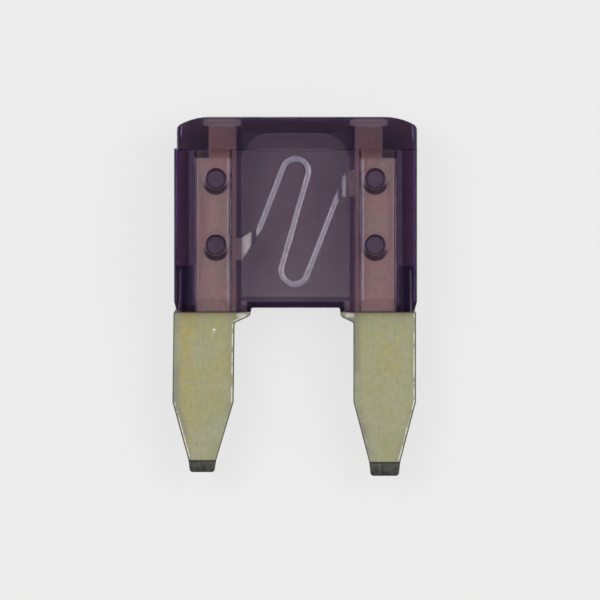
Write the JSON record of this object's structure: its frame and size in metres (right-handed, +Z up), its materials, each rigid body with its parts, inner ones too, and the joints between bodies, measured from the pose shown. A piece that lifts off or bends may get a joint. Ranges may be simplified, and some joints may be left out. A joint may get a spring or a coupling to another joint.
{
  "type": "automotive blade fuse",
  "caption": "Small plug-in blade fuse: a see-through violet moulded housing around a stamped metal element with two blades and a thin serpentine link.",
  "frame": {"origin": "on the surface that the fuse lies on, under the middle of its box", "axes": "+X across the two blades, +Y along the blades from their tips to the head, +Z up through the thickness"},
  "size_m": [0.011, 0.0162, 0.0036],
  "materials": {
    "violet_plastic": "see-through moulded violet plastic, glossy and slightly scuffed",
    "zinc_alloy": "bare zinc alloy, dull with a yellowish tarnish and light scratches"
  },
  "bodies": {
    "root": {"housing": "violet_plastic", "fuse_element": "zinc_alloy"}
  },
  "joints": []
}
